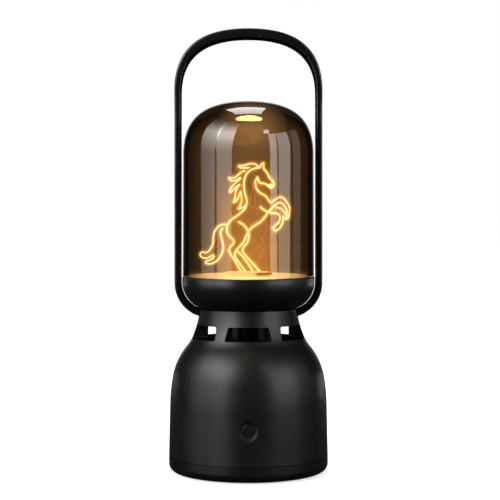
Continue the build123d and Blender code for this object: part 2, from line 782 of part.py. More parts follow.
horse_tail = strand(1, [
    (-13.4, 29.2), (-16.2, 29.4), (-19.0, 28.2), (-21.3, 25.4), (-22.3, 21.6),
    (-22.2, 17.4), (-23.9, 13.8), (-26.6, 11.3), (-29.2, 11.9), (-30.8, 11.0),
    (-30.5, 9.2), (-28.6, 8.1), (-25.9, 7.9), (-23.9, 9.2), (-22.3, 10.0),
    (-21.6, 8.9), (-22.8, 7.6), (-24.9, 6.6), (-27.1, 6.0), (-27.2, 4.6),
    (-24.3, 4.3), (-20.7, 5.6), (-17.4, 9.3), (-15.8, 13.8), (-16.2, 17.6),
    (-17.4, 21.8), (-17.7, 25.2), (-16.2, 27.1),
])
horse_tail.label = "horse_tail"
export_step(horse_tail, "parts/horse_tail.step")

mane_locks = [
    strand(-1, [
        (7.2, 65.8), (5.0, 67.4), (1.4, 68.1), (-2.0, 66.9), (-5.6, 67.0),
        (-6.0, 65.6), (-2.6, 64.9), (0.8, 65.4),
    ]),
    strand(-1, [
        (0.0, 62.9), (-2.3, 63.3), (-4.9, 62.0), (-7.6, 59.9), (-9.9, 58.8), (-12.2, 59.3),
        (-12.4, 57.8), (-10.3, 57.0), (-7.4, 57.5), (-4.9, 58.7), (-2.6, 58.2),
    ]),
    strand(-1, [
        (-2.9, 56.3), (-5.6, 56.9), (-8.1, 55.4), (-10.8, 53.0), (-12.2, 50.7),
        (-11.1, 49.7), (-9.4, 51.4), (-7.4, 53.6), (-5.3, 54.7), (-2.9, 54.0),
    ]),
    strand(-1, [
        (-2.6, 52.2), (-5.0, 52.7), (-7.2, 51.6), (-8.3, 47.9), (-10.0, 44.2),
        (-8.9, 43.0), (-7.1, 44.8), (-5.7, 47.4), (-4.6, 49.8), (-2.3, 50.0),
    ]),
    strand(-1, [
        (-1.7, 46.6), (-3.9, 45.2), (-4.6, 42.6), (-6.4, 40.2), (-5.7, 39.0),
        (-3.6, 39.5), (-1.5, 41.0),
    ]),
]
with BuildPart() as horse_mane:
    add(mane_locks)
horse_mane.part.label = "horse_mane"
export_step(horse_mane.part, "parts/horse_mane.step")

foreleg_strands = [
    strand(-1, [
        (7.4, 40.4), (10.4, 37.9), (14.2, 36.5), (17.6, 36.5), (19.6, 35.2), (19.9, 32.4),
        (18.6, 29.7), (16.2, 28.3), (15.4, 26.7), (16.8, 25.1), (18.8, 26.2), (21.0, 28.9),
        (21.9, 31.8), (21.7, 34.8),
    ]),
    strand(-1, [(17.5, 40.1), (20.3, 39.5), (22.9, 37.0), (24.1, 33.4)]),
]
with BuildPart() as horse_forelegs:
    add(foreleg_strands)
horse_forelegs.part.label = "horse_forelegs"
export_step(horse_forelegs.part, "parts/horse_forelegs.step")

hindleg_strands = [
    strand(-1, [
        (-6.1, 30.9), (-3.4, 29.4), (-0.9, 26.6), (0.5, 22.2), (-0.6, 17.8), (-3.3, 14.9),
        (-3.9, 12.4), (-1.5, 9.2), (2.3, 5.1), (near_hoof, 0.0),
    ]),
    strand(0, [(-7.9, 13.4), (-6.0, 11.4), (-4.0, 9.6), (-0.7, 5.3), (far_hoof, 0.0)]),
]
with BuildPart() as horse_hindlegs:
    add(hindleg_strands)
horse_hindlegs.part.label = "horse_hindlegs"
export_step(horse_hindlegs.part, "parts/horse_hindlegs.step")

# Push button, and the switch behind it
with BuildPart() as button_cap:
    with BuildSketch(Plane.XZ.offset(flange_front)):
        with Locations((0, button_height)):
            Circle(button_radius)
    extrude(amount=button_face - flange_front)
    fillet(edges().filter_by(GeomType.CIRCLE).sort_by(Axis.Y)[0], radius=button_edge_radius)
    with BuildSketch(Plane.XZ.offset(flange_back)):
        with Locations((0, button_height)):
            Circle(button_flange_radius)
    extrude(amount=button_flange_thickness)
button_cap.part.label = "button_cap"
export_step(button_cap.part, "parts/button_cap.step")

with BuildPart() as switch_plunger:
    with BuildSketch(Plane.XZ.offset(switch_front - plunger_buried)):
        with Locations((0, button_height)):
            Circle(plunger_radius)
    extrude(amount=plunger_buried + plunger_stand)
switch_plunger.part.label = "switch_plunger"
export_step(switch_plunger.part, "parts/switch_plunger.step")

with BuildPart() as switch_body:
    with BuildSketch(Plane.XZ.offset(board_front)):
        with Locations((0, button_height)):
            Rectangle(switch_size, switch_size)
    extrude(amount=switch_depth)
    with BuildSketch(Plane.XZ.offset(switch_front)):
        with Locations((0, button_height)):
            Circle(plunger_radius + seat_gap)
    extrude(amount=-(plunger_buried + button_travel + seat_gap), mode=Mode.SUBTRACT)
switch_body.part.label = "switch_body"
export_step(switch_body.part, "parts/switch_body.step")

with BuildPart() as switch_board:
    with BuildSketch(Plane.XZ.offset(board_front)):
        with Locations((0, button_height)):
            Rectangle(switch_board_width, switch_board_height)
            with GridLocations(switch_post_spacing, 0, 2, 1):
                Circle(small_screw_radius + pilot_gap, mode=Mode.SUBTRACT)
    extrude(amount=-board_thickness)
switch_board.part.label = "switch_board"
export_step(switch_board.part, "parts/switch_board.step")

with BuildPart() as switch_board_screws:
    with BuildSketch(Plane.XZ.offset(board_back)):
        with Locations((0, button_height)):
            with GridLocations(switch_post_spacing, 0, 2, 1):
                Circle(small_head_radius)
    extrude(amount=-small_head_height)
    with BuildSketch(Plane.XZ.offset(board_back)):
        with Locations((0, button_height)):
            with GridLocations(switch_post_spacing, 0, 2, 1):
                Circle(small_screw_radius)
    extrude(amount=small_screw_length)
switch_board_screws.part.label = "switch_board_screws"
export_step(switch_board_screws.part, "parts/switch_board_screws.step")

# Charging board and its socket at the rear
with BuildPart() as main_board:
    with BuildSketch(Plane.XY.offset(main_board_bottom)):
        with Locations((0, main_board_middle)):
            Rectangle(main_board_width, main_board_length)
        with Locations(*standoff_spots):
            Circle(small_screw_radius + pilot_gap, mode=Mode.SUBTRACT)
    extrude(amount=board_thickness)
main_board.part.label = "main_board"
export_step(main_board.part, "parts/main_board.step")

with BuildPart() as main_board_screws:
    add_screws(standoff_spots, main_board_top, main_board_top - small_screw_length,
               small_head_radius, small_head_height, small_screw_radius)
main_board_screws.part.label = "main_board_screws"
export_step(main_board_screws.part, "parts/main_board_screws.step")

with BuildPart() as usb_socket:
    with BuildSketch(Plane.XZ.offset(-port_mouth)):
        with Locations((0, port_height)):
            SlotOverall(port_width, port_thickness)
    extrude(amount=port_length)
    with BuildSketch(Plane.XZ.offset(-port_mouth)):
        with Locations((0, port_height)):
            SlotOverall(port_width - 2 * port_wall, port_thickness - 2 * port_wall)
    extrude(amount=port_length - port_recess, mode=Mode.SUBTRACT)
    with BuildSketch(Plane.XZ.offset(port_length - port_recess - port_mouth)):
        with Locations((0, port_height)):
            Rectangle(tongue_width, tongue_thickness)
    extrude(amount=-tongue_length)
usb_socket.part.label = "usb_socket"
export_step(usb_socket.part, "parts/usb_socket.step")

# Chips and coils on the two boards
with BuildPart() as board_parts:
    for x, y, z, size in (
        (-chip_spacing, main_board_middle, main_board_top, charge_chip),
        (chip_spacing, main_board_middle - charge_coil[1], main_board_top, charge_coil),
        (-chip_spacing, main_board_middle + standoff_spacing_y / 2, main_board_top, small_chip),
        (0, -lamp_board_radius / 2, lamp_board_top, charge_chip),
        (-lamp_board_radius / 2, 0, lamp_board_top, small_chip),
        (lamp_board_radius / 2, 0, lamp_board_top, small_chip),
    ):
        with Locations((x, y, z)):
            Box(*size, align=on_floor)
board_parts.part.label = "board_parts"
export_step(board_parts.part, "parts/board_parts.step")

# Cell, its cradle and its end contacts
with BuildPart() as battery_cradle:
    with BuildSketch(Plane.XY.offset(cover_inside)):
        with Locations((0, -cell_back)):
            Rectangle(2 * cradle_reach, cradle_width)
    extrude(amount=cradle_floor)
    with BuildSketch(Plane.XY.offset(cover_inside)):
        with Locations((cradle_reach - cradle_end_thickness / 2, -cell_back),
                       (cradle_end_thickness / 2 - cradle_reach, -cell_back)):
            Rectangle(cradle_end_thickness, cradle_width)
    extrude(amount=cradle_end_height)
    with BuildSketch(Plane.XY.offset(cover_inside)):
        with Locations((0, -cell_back)):
            with GridLocations(saddle_spacing, 0, 2, 1):
                Rectangle(saddle_length, cradle_width)
    extrude(amount=cell_height - cover_inside)
    with Locations(Location((0, -cell_back, cell_height), (0, 90, 0))):
        Cylinder(cell_radius + seat_gap, 2 * (cradle_reach - cradle_end_thickness),
                 mode=Mode.SUBTRACT)
battery_cradle.part.label = "battery_cradle"
export_step(battery_cradle.part, "parts/battery_cradle.step")

with BuildPart() as battery_cell:
    with Locations(Location((0, -cell_back, cell_height), (0, 90, 0))):
        Cylinder(cell_radius, cell_length - 2 * cell_cap_height)
        Cylinder(cell_cap_radius, cell_length)
battery_cell.part.label = "battery_cell"
export_step(battery_cell.part, "parts/battery_cell.step")

with BuildPart() as cell_tabs:
    for x in (-tab_reach, tab_reach):
        with Locations((x, -cell_back, cover_inside + cradle_floor)):
            Box(tab_thickness, tab_width, tab_height, align=on_floor)
cell_tabs.part.label = "cell_tabs"
export_step(cell_tabs.part, "parts/cell_tabs.step")

# Wires from the charging board to the lamp board, the cell and the switch
lamp_lead_pair = [
    tube([(x, y, z) for y, z in lamp_lead_route], wire_radius)
    for x in (-wire_spacing / 2, wire_spacing / 2)
]
with BuildPart() as lamp_leads:
    add(lamp_lead_pair)
lamp_leads.part.label = "lamp_leads"
export_step(lamp_leads.part, "parts/lamp_leads.step")

battery_lead_pair = [
    tube([(side * x, y, z) for x, y, z in battery_lead_route], wire_radius) for side in (-1, 1)
]
with BuildPart() as battery_leads:
    add(battery_lead_pair)
battery_leads.part.label = "battery_leads"
export_step(battery_leads.part, "parts/battery_leads.step")

switch_lead_pair = [
    tube([(x, y, z) for y, z in switch_lead_route], wire_radius)
    for x in (switch_lead_reach, switch_lead_reach + wire_spacing)
]
with BuildPart() as switch_leads:
    add(switch_lead_pair)
switch_leads.part.label = "switch_leads"
export_step(switch_leads.part, "parts/switch_leads.step")
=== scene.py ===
import math

import bmesh
import bpy
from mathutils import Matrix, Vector


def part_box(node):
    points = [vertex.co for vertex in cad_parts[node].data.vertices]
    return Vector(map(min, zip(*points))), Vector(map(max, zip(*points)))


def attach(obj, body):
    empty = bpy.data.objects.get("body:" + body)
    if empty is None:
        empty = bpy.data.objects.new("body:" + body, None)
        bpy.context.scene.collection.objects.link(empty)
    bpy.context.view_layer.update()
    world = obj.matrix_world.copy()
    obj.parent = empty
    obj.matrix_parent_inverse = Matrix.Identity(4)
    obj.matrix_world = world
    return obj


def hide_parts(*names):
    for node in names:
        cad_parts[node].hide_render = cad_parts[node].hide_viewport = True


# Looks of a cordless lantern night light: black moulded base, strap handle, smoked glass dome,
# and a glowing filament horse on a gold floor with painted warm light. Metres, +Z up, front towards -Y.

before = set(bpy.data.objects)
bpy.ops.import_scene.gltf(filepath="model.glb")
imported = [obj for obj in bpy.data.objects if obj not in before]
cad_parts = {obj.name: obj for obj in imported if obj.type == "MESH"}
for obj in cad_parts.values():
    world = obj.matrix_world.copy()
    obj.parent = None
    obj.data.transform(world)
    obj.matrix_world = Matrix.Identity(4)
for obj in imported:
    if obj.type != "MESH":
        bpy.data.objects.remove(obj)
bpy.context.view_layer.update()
mm = 0.001

# Camera, measured from the photograph's 500 pixel frame
image_size = 500
camera_spot = (1.0 * mm, -918.0 * mm, 164.0 * mm)
camera_lens = 104.77
sensor_width = 36.0
horizon_row = 210.6
view_depth = 50.0

# Glass dome and pedestal: sizes that their boxes don't give
dome_wall = 3.0 * mm
dome_rise = 34.0 * mm
dome_lip_radius = 0.8 * mm
edge_band = 0.2 * mm
pedestal_round = 2.6 * mm
arch_fullness = 0.69
turn_steps = 192
arch_steps = 40
lip_steps = 5
seam_gap = 0.002 * mm

# Strands of the figure, as x and height over its feet in millimetres
strand_radius = 0.52 * mm
strand_steps = 14
bend_share = 0.45
bend_steps = 4
foot_gap = 0.5 * mm
mane_layer = -1.5 * mm
mane_line = (
    (-2.2, 63.3), (-3.5, 62.7), (-4.8, 61.8), (-6.3, 60.6), (-7.7, 59.4), (-8.9, 58.6), (-10.1, 58.4),
    (-11.5, 58.4), (-12.5, 58.7), (-11.8, 57.7), (-11.0, 57.0), (-9.9, 56.6), (-8.7, 56.8), (-7.2, 57.6),
    (-6.0, 58.3), (-4.7, 58.8), (-6.0, 57.3), (-7.5, 56.0), (-8.9, 54.7), (-10.2, 53.2), (-11.2, 51.7),
    (-11.7, 50.3), (-11.5, 49.4), (-10.7, 49.7), (-9.9, 50.6), (-8.9, 51.8), (-7.7, 53.0), (-6.5, 53.8),
    (-5.3, 54.5), (-6.8, 52.9), (-7.6, 51.4), (-8.0, 50.0), (-8.2, 48.3), (-8.3, 46.6), (-8.8, 44.7),
    (-9.6, 42.9), (-8.7, 43.3), (-7.6, 44.2), (-6.6, 45.6), (-6.0, 47.3), (-5.5, 49.0), (-4.9, 50.3),
    (-4.7, 48.5), (-4.3, 46.6), (-4.2, 44.7), (-4.5, 43.0), (-5.1, 41.3), (-5.9, 39.8), (-6.3, 39.1),
    (-5.3, 39.2), (-3.9, 39.8), (-2.7, 40.4), (-1.7, 41.5))
forelock_line = (
    (0.6, 65.1), (-1.0, 64.9), (-2.9, 64.8), (-4.6, 64.9), (-5.7, 65.4), (-6.3, 66.3), (-4.6, 66.3),
    (-2.9, 66.3), (-1.2, 66.8), (0.5, 67.4), (2.4, 67.6), (4.1, 67.3), (5.3, 66.6), (6.3, 65.6),
    (7.1, 65.0))
outline_line = (
    (-4.8, 0.0), (-8.1, 5.6), (-10.8, 10.0), (-12.6, 13.0), (-11.3, 15.2), (-9.2, 17.5),
    (-9.4, 19.8), (-11.9, 21.6), (-13.8, 24.8), (-13.5, 28.6), (-11.6, 31.6), (-9.2, 33.4),
    (-7.0, 34.8), (-5.1, 36.5), (-3.1, 38.2), (-1.9, 39.8), (-1.2, 41.8), (-1.0, 43.7), (-1.3, 45.9),
    (-2.1, 48.3), (-2.7, 50.9), (-2.9, 53.4), (-2.8, 55.8), (-2.4, 58.2), (-1.6, 60.6), (0.0, 62.5),
    (1.9, 63.9), (3.9, 64.7), (5.8, 65.0), (7.2, 65.0), (7.5, 65.9), (8.2, 67.2), (9.4, 68.2),
    (9.6, 67.2), (9.4, 66.2), (9.5, 65.0), (10.1, 63.6), (11.3, 62.7), (12.1, 61.6), (12.4, 60.1),
    (13.1, 58.7), (14.5, 57.5), (15.6, 56.3), (16.1, 54.8), (15.8, 53.6), (15.0, 52.7), (14.0, 52.4),
    (12.9, 53.0), (11.8, 54.0), (11.1, 54.7), (10.1, 55.1), (8.7, 55.1), (7.5, 55.4), (6.5, 56.4),
    (6.0, 57.7), (5.9, 59.3), (5.1, 58.0), (4.3, 56.3), (4.3, 54.3), (4.8, 52.4), (5.8, 50.7),
    (7.2, 49.3), (8.9, 48.3), (10.4, 47.6), (11.6, 46.4), (12.5, 44.9), (13.4, 43.6), (14.0, 42.9),
    (15.0, 43.5), (16.4, 44.6), (17.9, 45.6), (19.6, 46.6), (21.7, 46.3), (24.5, 43.2), (26.2, 39.9),
    (25.7, 35.1), (24.8, 32.7), (23.3, 32.6), (21.9, 35.0))
lip_line = ((12.2, 54.3), (13.1, 53.9), (14.1, 54.0), (14.7, 54.5))

# Light of the strands, from face on to edge on, and the painted glow of the two sleeves round them
strand_heat = ((0.0, (1.0, 0.85, 0.6)), (0.1, (1.0, 0.75, 0.4)), (0.22, (0.6, 0.26, 0.03)),
               (0.6, (0.2, 0.05, 0.0)))
strand_level = 8.0
halo_colour = (1.0, 0.5, 0.08, 1.0)
near_stops = ((0.0, 0.36), (0.12, 0.55), (0.3, 0.6), (0.55, 0.3), (0.85, 0.04), (1.0, 0.0))
far_stops = ((0.0, 0.1), (0.3, 0.11), (0.6, 0.05), (1.0, 0.0))
near_reach, near_grain = 1.1 * mm, 0.4 * mm
far_reach, far_grain = 2.4 * mm, 0.6 * mm
sleeve_seam = 0.01 * mm
soften_rounds = 6

# Smoked glass: tint from face on to edge on, smoke in its wall, a painted glow on its surface, and a
# painted tint on its reflections
glass_bending = 1.52
glass_tint = ((0.0, (1.0, 1.0, 1.0)), (0.12, (0.92, 0.92, 0.92)), (0.34, (0.62, 0.6, 0.58)),
              (0.6, (0.3, 0.28, 0.26)), (0.85, (0.12, 0.11, 0.1)))
smoke_colour = (0.524, 0.367, 0.121, 1.0)
smoke_density = 700.0
glow_low, glow_high = 130.0 * mm, 230.0 * mm
glow_stops = ((0.0, 0.2), (0.35, 0.13), (0.62, 0.012), (0.74, 0.012),
              (0.8, 0.045), (0.88, 0.06), (0.96, 0.02), (1.0, 0.0))
glow_middle = (0.04, 0.14)
glow_colour = (1.0, 0.38, 0.04)
# Painted reflection tint: the glass's reflections warmer and dimmer low down
painted_reflection_tint = ((0.0, (1.0, 0.86, 0.6)), (0.35, (0.96, 0.86, 0.68)), (0.62, (0.96, 0.92, 0.86)),
              (0.85, (1.0, 0.98, 0.94)))
# Painted pool of warm light round the dome's crown
crown_spot = (3.0 * mm, -32.0 * mm, 219.5 * mm)
crown_reach = 22.0 * mm
crown_glow = 0.13
crown_colour = (1.0, 0.58, 0.26)

# Floor with painted light: its gold, the figure's light painted on it, and the bands in which that
# painted light dims or brightens
floor_dark, floor_pale = (0.5, 0.3, 0.11), (0.62, 0.4, 0.16)
floor_gloss = 0.32
painted_floor_light = (1.0, 0.86, 0.5, 1.0)
painted_floor_glow = 2.4
# Painted light: dimmer towards the sides, brighter along the front
side_level, side_band = 0.3, (30.0 * mm, 39.0 * mm)
front_level, front_band = 1.7, (-38.0 * mm, -31.0 * mm)
# Painted shade to the right, on every face but level tops
painted_shade_band = (3.0 * mm, 6.0 * mm)
lit_top = (0.9, 0.99)
# Painted shade on the pedestal's right side, and the pedestal's darker tone
pedestal_painted_shade, pedestal_tone = 0.04, 0.55

# Faces that lose their gloss: how level they are, or how far they turn away from the eye
dull_top = (0.85, 0.95)
dull_edge = (0.55, 0.8)

# Studio: azimuths are seen from the lamp, in degrees left (-) or right (+) of the camera
aim_height = 150.0 * mm
room_level = 0.02
fill_level = 0.12
backdrop_edge = (0.9, 0.97)
backdrop_foot = (-0.06, 0.03)
left_fade = ((0.0, 0.28), (0.12, 0.28), (0.25, 0.26), (0.4, 0.51), (0.53, 0.86), (0.62, 0.93),
             (0.72, 0.52), (0.85, 0.15), (1.0, 0.04))
right_fade = ((0.0, 0.78), (0.12, 0.84), (0.3, 0.85), (0.6, 0.92), (1.0, 0.8))
# name: azimuth, elevation, distance, (width, height), level, fade upwards, share at the outer side
panels = {
    "left_front_panel": (-42.3, 24, 1.3, (0.69, 1.75), 12.2, left_fade, 1.0),
    "left_side_panel": (-74.6, 24, 1.3, (0.75, 1.75), 10.0, left_fade, 0.5),
    "right_front_panel": (44, 13.5, 1.3, (0.3, 0.82), 6.2, right_fade, 1.0),
    "right_side_panel": (65, 13.5, 1.3, (0.55, 0.82), 4.6, right_fade, 1.0),
    "right_far_panel": (93, 13.5, 1.3, (0.42, 0.82), 0.9, right_fade, 1.0),
    "left_rim_strip": (-142, -5.5, 1.3, (0.5, 0.04), 2.0, None, 1.0),
    "right_rim_strip": (138, -5.5, 1.3, (0.6, 0.04), 3.8, None, 1.0),
    "right_spark": (35, 36, 1.3, (0.2, 0.17), 10.0, None, 1.0),
    "top_panel": (185, 74.5, 1.126, (0.54, 0.6), 7.8, None, 1.0),
}
glint_size = (44.0 * mm, 20.0 * mm)
glint_level = 30.0
glint_colour = (1.0, 0.76, 0.28)
glint_side, glint_front, glint_lift = 1.0 * mm, 6.7 * mm, 29.0 * mm
studio_grey = (0.3, 0.3, 0.3, 1.0)
studio_radius = 6.0
studio_steps = 64
# Painted contact shadow: the floor's white lift is lower close under the lamp
painted_shadow_level, painted_shadow_band = 0.45, (38.0 * mm, 56.0 * mm)
white = (1.0, 1.0, 1.0, 1.0)


def new_finish(name):
    """Make a node material and give it with its node tree and its main shader."""
    finish = bpy.data.materials.new(name)
    finish.use_nodes = True
    return finish, finish.node_tree, finish.node_tree.nodes["Principled BSDF"]


def fill_input(tree, socket, part):
    """Set an input to a value, or link it where the part is another node's output."""
    if isinstance(part, bpy.types.NodeSocket):
        tree.links.new(part, socket)
    else:
        socket.default_value = part


def fill_inputs(tree, node, parts):
    """Fill a node's inputs by their names."""
    for name, part in parts.items():
        fill_input(tree, node.inputs[name], part)


def add_node(tree, kind, parts):
    """Add a node, and fill its inputs or set its properties by their names."""
    node = tree.nodes.new(kind)
    for name, part in parts.items():
        if name in node.inputs:
            fill_input(tree, node.inputs[name], part)
        else:
            setattr(node, name, part)
    return node


def add_math(tree, operation, *parts):
    """Add a calculation with outputs or numbers, and give its result."""
    node = add_node(tree, "ShaderNodeMath", {"operation": operation})
    for socket, part in zip(node.inputs, parts):
        fill_input(tree, socket, part)
    return node.outputs[0]


def vector_math(tree, operation, *parts):
    """Add a calculation with places or colours, and give its outputs."""
    node = add_node(tree, "ShaderNodeVectorMath", {"operation": operation})
    for socket, part in zip(node.inputs, parts):
        fill_input(tree, socket, part)
    return node.outputs


def blend(tree, share, start, end):
    """Go from one value to another by a share."""
    node = add_node(tree, "ShaderNodeMix", {"data_type": "FLOAT"})
    for place, part in ((0, share), (2, start), (3, end)):
        fill_input(tree, node.inputs[place], part)
    return node.outputs[0]


def colour_ramp(tree, source, stops):
    """Add a colour ramp with the given (place, colour) stops."""
    ramp = tree.nodes.new("ShaderNodeValToRGB")
    tree.links.new(source, ramp.inputs["Fac"])
    while len(ramp.color_ramp.elements) < len(stops):
        ramp.color_ramp.elements.new(0.5)
    for element, (place, colour) in zip(ramp.color_ramp.elements, stops):
        element.position = place
        element.color = (*colour, 1.0)
    return ramp.outputs["Color"]


def grey_ramp(tree, source, stops):
    """Add a colour ramp with the given (place, grey level) stops."""
    return colour_ramp(tree, source, [(place, (level,) * 3) for place, level in stops])


def two_tones(tree, pattern, dark, pale):
    """Blend from a dark to a pale colour in the middle of a pattern's range."""
    return colour_ramp(tree, pattern, ((0.3, dark), (0.7, pale)))


def toned(colour, share):
    """Darken or lighten a colour."""
    return tuple(share * part for part in colour)


def value_range(tree, source, low, high, from_low=0.0, from_high=1.0):
    """Map a value from one range to another."""
    return add_node(tree, "ShaderNodeMapRange", {
        "From Min": from_low, "From Max": from_high, "To Min": low, "To Max": high,
        "Value": source}).outputs["Result"]


def object_place(tree):
    """Give the place on the piece, in metres."""
    return tree.nodes.new("ShaderNodeTexCoord").outputs["Object"]


def split(tree, vector):
    """Give a vector's parts X, Y and Z."""
    return add_node(tree, "ShaderNodeSeparateXYZ", {"Vector": vector}).outputs


def upward(tree):
    """Give how level a face is: 1 for a flat top, 0 for a wall."""
    return split(tree, tree.nodes.new("ShaderNodeNewGeometry").outputs["Normal"])["Z"]


def turned_away(tree, bias=0.5):
    """Give how far a face turns away from the eye: 0 face on, 1 edge on."""
    return add_node(tree, "ShaderNodeLayerWeight", {"Blend": bias}).outputs["Facing"]


def dome_height(tree, place):
    """Give the height in the range of the glass's painted glow, from 0 to 1."""
    return value_range(tree, split(tree, place)["Z"], 0.0, 1.0, glow_low, glow_high)


def seen_directly(tree):
    """Give 1 to the eye and through glass, and 0 in reflections and for the light on things."""
    path = tree.nodes.new("ShaderNodeLightPath").outputs
    return add_math(tree, "MAXIMUM", path["Is Camera Ray"], path["Is Transmission Ray"])


def noise(tree, place, grain, detail=2.0, roughness=0.5):
    """Add noise with grains of the given size in metres."""
    return add_node(tree, "ShaderNodeTexNoise", {
        "Scale": 1.0 / grain, "Detail": detail, "Roughness": roughness, "Vector": place}).outputs["Fac"]


def add_bump(tree, shader, height, depth):
    """Raise the surface by a height pattern of the given depth in metres."""
    bump = add_node(tree, "ShaderNodeBump", {"Distance": depth, "Strength": 1.0, "Height": height})
    tree.links.new(bump.outputs["Normal"], shader.inputs["Normal"])


def moulded_plastic(name, colour, roughness, specular):
    """Moulded plastic with a fine spark-eroded grain and faint uneven gloss."""
    finish, tree, shader = new_finish(name)
    place = object_place(tree)
    fine = noise(tree, place, 0.35 * mm, 3.0, 0.6)
    cloud = noise(tree, place, 18.0 * mm)
    fill_inputs(tree, shader, {
        "Base Color": two_tones(tree, cloud, toned(colour, 0.8), toned(colour, 1.25)),
        "Roughness": value_range(tree, cloud, roughness - 0.03, roughness + 0.03, 0.3, 0.7),
        "Specular IOR Level": specular})
    add_bump(tree, shader, fine, 0.006 * mm)
    return finish


def brushed_metal(name, colour, roughness):
    """Metal with fine marks and uneven gloss."""
    finish, tree, shader = new_finish(name)
    marks = noise(tree, object_place(tree), 0.12 * mm)
    fill_inputs(tree, shader, {
        "Metallic": 1.0,
        "Base Color": two_tones(tree, marks, toned(colour, 0.85), colour),
        "Roughness": value_range(tree, marks, roughness - 0.06, roughness + 0.06)})
    add_bump(tree, shader, marks, 0.004 * mm)
    return finish


def painted_inner_glow(tree, place):
    """Give the glow painted on the glass for the figure's scattered light: a little low down, and a
    painted pool of light round its crown.
    """
    middle = value_range(tree, turned_away(tree), 1.0, 0.0, *glow_middle)
    low_down = grey_ramp(tree, dome_height(tree, place), glow_stops)
    share = add_math(tree, "MULTIPLY", middle, low_down)
    away = vector_math(tree, "DISTANCE", place, crown_spot)["Value"]
    pool = value_range(tree, away, crown_glow, 0.0, 0.0, crown_reach)
    parts = []
    for strength, colour in ((share, glow_colour), (pool, crown_colour)):
        part = add_node(tree, "ShaderNodeVectorMath", {"operation": "SCALE", "Scale": strength})
        part.inputs[0].default_value = colour
        parts.append(part.outputs[0])
    return vector_math(tree, "ADD", *parts)[0]


def smoked_glass():
    """Brown smoked glass: tinted through its wall and darker where it is seen edge on, with a painted
    glow and a painted reflection tint.
    """
    finish, tree, shader = new_finish("smoked_glass")
    place = object_place(tree)
    fill_inputs(tree, shader, {
        "Transmission Weight": 1.0,
        "Roughness": 0.0,
        "IOR": glass_bending,
        "Base Color": colour_ramp(tree, turned_away(tree), glass_tint),
        "Specular Tint": colour_ramp(tree, dome_height(tree, place), painted_reflection_tint),
        "Emission Color": painted_inner_glow(tree, place),
        "Emission Strength": 1.0})
    body = add_node(tree, "ShaderNodeVolumeAbsorption", {"Color": smoke_colour, "Density": smoke_density})
    tree.links.new(body.outputs["Volume"], tree.nodes["Material Output"].inputs["Volume"])
    return finish


def filament_glow():
    """Phosphor strand: a pale hot core that turns amber towards its edges."""
    finish, tree, shader = new_finish("filament_glow")
    heat = colour_ramp(tree, turned_away(tree, 0.4), strand_heat)
    fill_inputs(tree, shader, {
        "Roughness": 0.4, "Base Color": heat, "Emission Color": heat, "Emission Strength": strand_level})
    return finish


def strand_halo(name, stops):
    """Painted glow round the strands: clear, it only adds amber light that fades to its rim."""
    halo, tree, shader = new_finish(name)
    tree.nodes.remove(shader)
    share = grey_ramp(tree, turned_away(tree), stops)
    light = add_node(tree, "ShaderNodeEmission", {"Color": halo_colour, "Strength": share})
    clear = add_node(tree, "ShaderNodeBsdfTransparent", {"Color": white})
    both = tree.nodes.new("ShaderNodeAddShader")
    tree.links.new(light.outputs[0], both.inputs[0])
    tree.links.new(clear.outputs[0], both.inputs[1])
    tree.links.new(both.outputs[0], tree.nodes["Material Output"].inputs["Surface"])
    return halo


def lit_floor(name, shade, tone):
    """Satin gold floor with the figure's light painted on it: dim at its sides, bright in front, with
    painted shade to the right.
    """
    finish, tree, shader = new_finish(name)
    place = object_place(tree)
    cloud = noise(tree, place, 6.0 * mm, 3.0)
    way = split(tree, place)
    sides = value_range(tree, add_math(tree, "ABSOLUTE", way["X"]), 1.0, side_level, *side_band)
    front = value_range(tree, way["Y"], front_level, 1.0, *front_band)
    # painted shade on the right, lifted again on level tops
    right = value_range(tree, way["X"], 1.0, shade, *painted_shade_band)
    lit = add_math(tree, "MAXIMUM", right, value_range(tree, upward(tree), 0.0, 1.0, *lit_top))
    share = add_math(tree, "MULTIPLY", add_math(tree, "MULTIPLY", sides, front), lit)
    fill_inputs(tree, shader, {
        "Base Color": two_tones(tree, cloud, toned(floor_dark, tone), toned(floor_pale, tone)),
        "Roughness": floor_gloss,
        "Emission Color": painted_floor_light,
        "Emission Strength": add_math(tree, "MULTIPLY", share, painted_floor_glow)})
    add_bump(tree, shader, noise(tree, place, 0.5 * mm), 0.004 * mm)
    return finish


def lose_gloss(finish, measure, band):
    """Take a finish's gloss away where the measure of its faces rises through a band."""
    tree = finish.node_tree
    gloss = tree.nodes["Principled BSDF"].inputs["Specular IOR Level"]
    tree.links.new(value_range(tree, measure(tree), gloss.default_value, 0.0, *band), gloss)


# name: colour, roughness, specular level
plastics = {
    "base_black": ((0.0032, 0.0032, 0.0034), 0.36, 0.3),
    "cover_black": ((0.0026, 0.0026, 0.0028), 0.34, 0.3),
    "handle_black": ((0.0012, 0.0012, 0.0012), 0.26, 0.45),
    "bowl_black": ((0.0015, 0.0015, 0.0015), 0.34, 0.6),
    # The neck's inner parts: darker than dark_plastic, as painted shade inside the neck
    "neck_shaded_black": ((0.0012, 0.0012, 0.0012), 0.3, 0.12),
    "dark_plastic": ((0.02, 0.02, 0.022), 0.4, 0.4),
    "foot_rubber": ((0.02, 0.02, 0.02), 0.8, 0.3),
    "board_laminate": ((0.02, 0.16, 0.06), 0.3, 0.5),
    "chip_black": ((0.02, 0.02, 0.02), 0.5, 0.4),
    "cell_wrap": ((0.05, 0.16, 0.42), 0.25, 0.5),
    "wire_cover": ((0.45, 0.03, 0.02), 0.45, 0.5),
}
